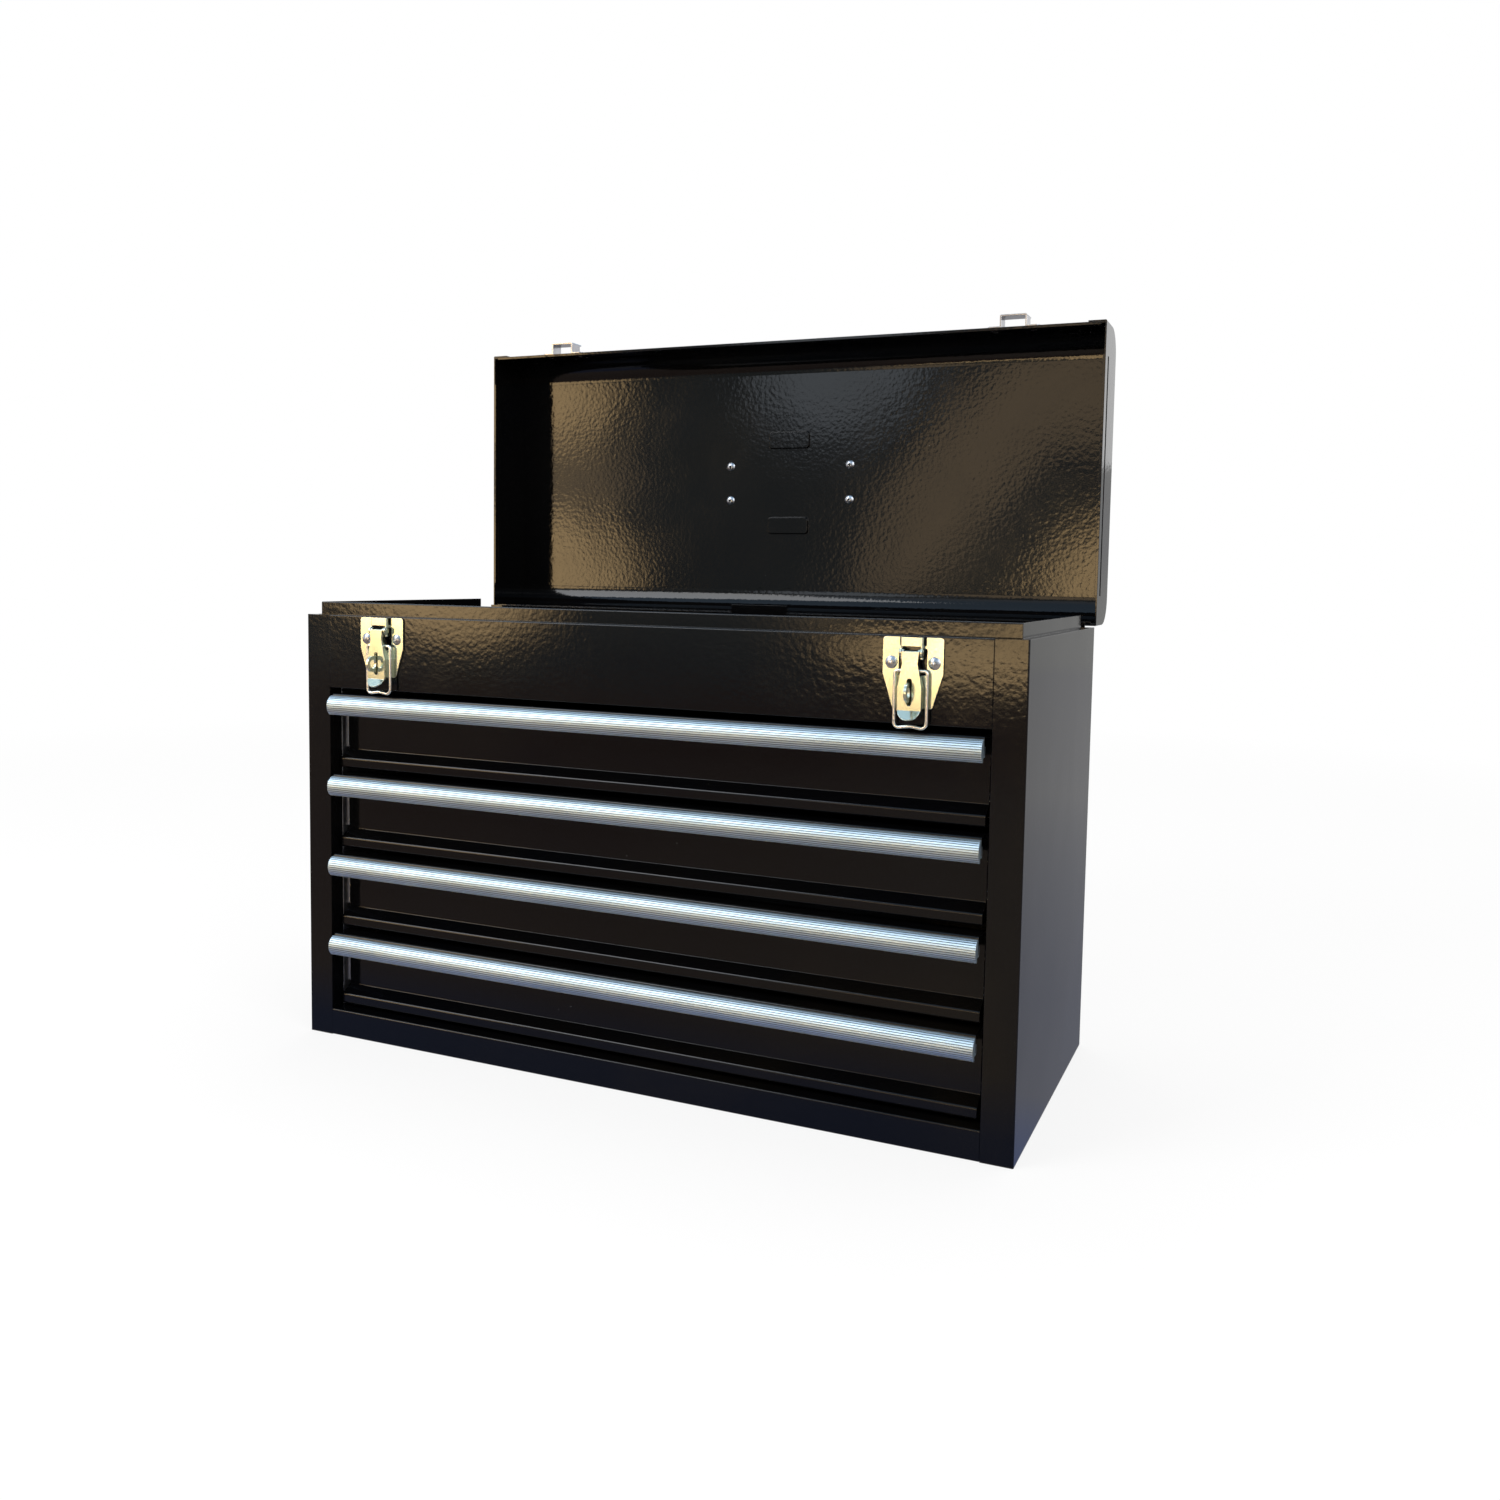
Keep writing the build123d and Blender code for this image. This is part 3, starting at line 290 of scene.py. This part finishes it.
def stage_plane(name, middle, size, turn=(0, 0, 0)):
    """A flat stage sheet that isn't part of the chest."""
    bpy.ops.mesh.primitive_plane_add(size=1, location=middle, rotation=turn)
    sheet = bpy.context.object
    sheet.name = name
    sheet.scale = (*size, 1)
    return sheet


def seen_ray(tree, kinds):
    """1 for the rays that see the plain background."""
    path = tree.nodes.new("ShaderNodeLightPath")
    seen = path.outputs[kinds[0]]
    for kind in kinds[1:]:
        seen = math_step(tree, "MAXIMUM", seen, path.outputs[kind])
    return seen


def pale_floor():
    """White floor that keeps the chest's shadow and fades into the background."""
    floor = stage_plane("studio_floor", (0, 0, 0), (2 * floor_reach, 2 * floor_reach))
    material, tree, output = bare_material("pale_floor")
    matte = tree.nodes.new("ShaderNodeBsdfDiffuse")
    matte.inputs["Color"].default_value = (*floor_tone, 1)
    glow = tree.nodes.new("ShaderNodeEmission")
    glow.inputs["Strength"].default_value = 1.0
    geometry = tree.nodes.new("ShaderNodeNewGeometry")
    length = tree.nodes.new("ShaderNodeVectorMath")
    length.operation = "LENGTH"
    tree.links.new(geometry.outputs["Position"], length.inputs[0])
    fade = spread(tree, length.outputs["Value"], floor_blend_start, floor_blend_end, floor_glow, 1.0)
    share = math_step(tree, "MULTIPLY", fade, seen_ray(tree, background_rays))
    mix = tree.nodes.new("ShaderNodeMixShader")
    tree.links.new(share, mix.inputs[0])
    tree.links.new(matte.outputs[0], mix.inputs[1])
    tree.links.new(glow.outputs[0], mix.inputs[2])
    tree.links.new(mix.outputs[0], output.inputs[0])
    floor.data.materials.append(material)


def soft_patch(tree, middle, half, turn):
    """1 inside a soft oval on a wall card: middle and half sizes across and up, turned in its plane."""
    place = tree.nodes.new("ShaderNodeNewGeometry")
    mapping = tree.nodes.new("ShaderNodeMapping")
    mapping.vector_type = "TEXTURE"
    mapping.inputs["Location"].default_value = (middle[0], room_front, middle[1])
    mapping.inputs["Rotation"].default_value = (0, math.radians(turn), 0)
    mapping.inputs["Scale"].default_value = (half[0], 1, half[1])
    tree.links.new(place.outputs["Position"], mapping.inputs["Vector"])
    length = tree.nodes.new("ShaderNodeVectorMath")
    length.operation = "LENGTH"
    tree.links.new(mapping.outputs[0], length.inputs[0])
    return spread(tree, length.outputs["Value"], 1.0 + patch_softness, 1.0 - patch_softness, 0.0, 1.0)


def room_card(name, middle, size, turn=(0, 0, 0)):
    """A card around the chest that only reflections see, so that the gloss shows a dim room."""
    card = stage_plane(name, middle, size, turn)
    material, tree, output = bare_material(name)
    glow = tree.nodes.new("ShaderNodeEmission")
    tree.links.new(glow.outputs[0], output.inputs[0])
    card.data.materials.append(material)
    for sight in ("visible_camera", "visible_diffuse", "visible_shadow", "visible_transmission"):
        setattr(card, sight, False)
    return tree, glow


def position_part(tree, axis):
    """One part of the place in the room."""
    place = tree.nodes.new("ShaderNodeNewGeometry")
    parts = tree.nodes.new("ShaderNodeSeparateXYZ")
    tree.links.new(place.outputs["Position"], parts.inputs[0])
    return parts.outputs[axis]


def dim_room():
    """Front wall with warm patches, back wall and ground, all seen in reflections only."""
    tree, glow = room_card("room_front_wall", (-0.8, room_front, room_height / 2), (6.4, room_height),
                           (math.pi / 2, 0, 0))
    streaks = noise(tree, 3.0, detail=4.0, stretch=(1, 1, 0.25), distortion=0.7)
    shade = colour_steps(tree, streaks, [(0.35, (0.20, 0.23, 0.26)), (0.60, (0.42, 0.46, 0.46)),
                                         (0.75, (1.00, 0.86, 0.62))])
    for middle, half, turn, colour in warm_patches:
        shade = mixed(tree, soft_patch(tree, middle, half, turn), shade, colour)
    tree.links.new(shade, glow.inputs["Color"])
    tree, glow = room_card("room_back_wall", (0, room_back, room_height / 4), (8.0, room_height / 2),
                           (math.pi / 2, 0, 0))
    haze = noise(tree, 1.5, detail=2.0)
    tree.links.new(colour_steps(tree, haze, [(0.3, (0.36, 0.36, 0.37)), (0.7, (0.44, 0.44, 0.43))]),
                   glow.inputs["Color"])
    middle_y = (room_front + room_back) / 2
    tree, glow = room_card("room_ground", (0, middle_y, ground_card_rise), (8.0, room_back - room_front))
    cloud = noise(tree, 4.0, detail=3.0, distortion=0.4)
    brown = colour_steps(tree, cloud, [(0.40, (0.26, 0.18, 0.16)), (0.62, (0.44, 0.36, 0.30))])
    forward = position_part(tree, 1)
    near = mixed(tree, spread(tree, forward, -0.24, -0.14, 0.0, 1.0), brown, (0.17, 0.21, 0.38))
    behind = mixed(tree, spread(tree, forward, 0.2, 1.2, 0.0, 1.0), (0.25, 0.26, 0.31), (0.40, 0.40, 0.41))
    tree.links.new(mixed(tree, spread(tree, forward, -0.10, 0.0, 0.0, 1.0), near, behind),
                   glow.inputs["Color"])


def white_sky():
    """White background, a softer fill for the lit faces, and a blue tint overhead in reflections."""
    world = bpy.data.worlds.new("studio")
    bpy.context.scene.world = world
    world.use_nodes = True
    tree = world.node_tree
    tree.nodes.clear()
    output = tree.nodes.new("ShaderNodeOutputWorld")
    sky = tree.nodes.new("ShaderNodeBackground")
    direction = tree.nodes.new("ShaderNodeTexCoord")
    parts = tree.nodes.new("ShaderNodeSeparateXYZ")
    tree.links.new(direction.outputs["Generated"], parts.inputs[0])
    rise = spread(tree, parts.outputs[2], overhead_start, overhead_full, 0.0, 1.0)
    overhead = math_step(tree, "MULTIPLY", rise, seen_ray(tree, ("Is Glossy Ray",)))
    tree.links.new(mixed(tree, overhead, (1.0, 1.0, 1.0), overhead_blue), sky.inputs["Color"])
    seen = seen_ray(tree, background_rays)
    tree.links.new(spread(tree, seen, 0.0, 1.0, sky_fill, 1.0), sky.inputs["Strength"])
    tree.links.new(sky.outputs[0], output.inputs[0])


def softbox(name, place, target, size, watts):
    """A soft area lamp aimed at a point."""
    lamp = bpy.data.lights.new(name, "AREA")
    lamp.shape = "RECTANGLE"
    lamp.size, lamp.size_y = size
    lamp.energy = watts
    holder = bpy.data.objects.new(name, lamp)
    holder.location = place
    holder.rotation_euler = (Vector(target) - Vector(place)).to_track_quat("-Z", "Y").to_euler()
    bpy.context.scene.collection.objects.link(holder)


def photo_camera():
    """The camera at the photograph's place, turned by its yaw, pitch and roll."""
    right = Vector((math.cos(camera_yaw), math.sin(camera_yaw), 0))
    ahead = Vector((-math.sin(camera_yaw) * math.cos(camera_pitch),
                    math.cos(camera_yaw) * math.cos(camera_pitch), math.sin(camera_pitch)))
    level_up = right.cross(ahead)
    across = math.cos(camera_roll) * right + math.sin(camera_roll) * level_up
    upward = math.cos(camera_roll) * level_up - math.sin(camera_roll) * right
    lens = bpy.data.cameras.new("photo_view")
    lens.lens = lens_mm
    lens.sensor_width = sensor_mm
    lens.sensor_fit = "HORIZONTAL"
    lens.shift_x, lens.shift_y = lens_shift
    camera = bpy.data.objects.new("photo_view", lens)
    turned = Matrix((across, upward, -ahead)).transposed().to_4x4()
    camera.matrix_world = Matrix.Translation(camera_place) @ turned
    bpy.context.scene.collection.objects.link(camera)
    bpy.context.scene.camera = camera


pale_floor()
dim_room()
white_sky()
for lamp_name, lamp_place, aim, lamp_size, lamp_watts in soft_lamps:
    softbox(lamp_name, lamp_place, aim, lamp_size, lamp_watts)
photo_camera()
bpy.context.scene.view_settings.view_transform = "Standard"
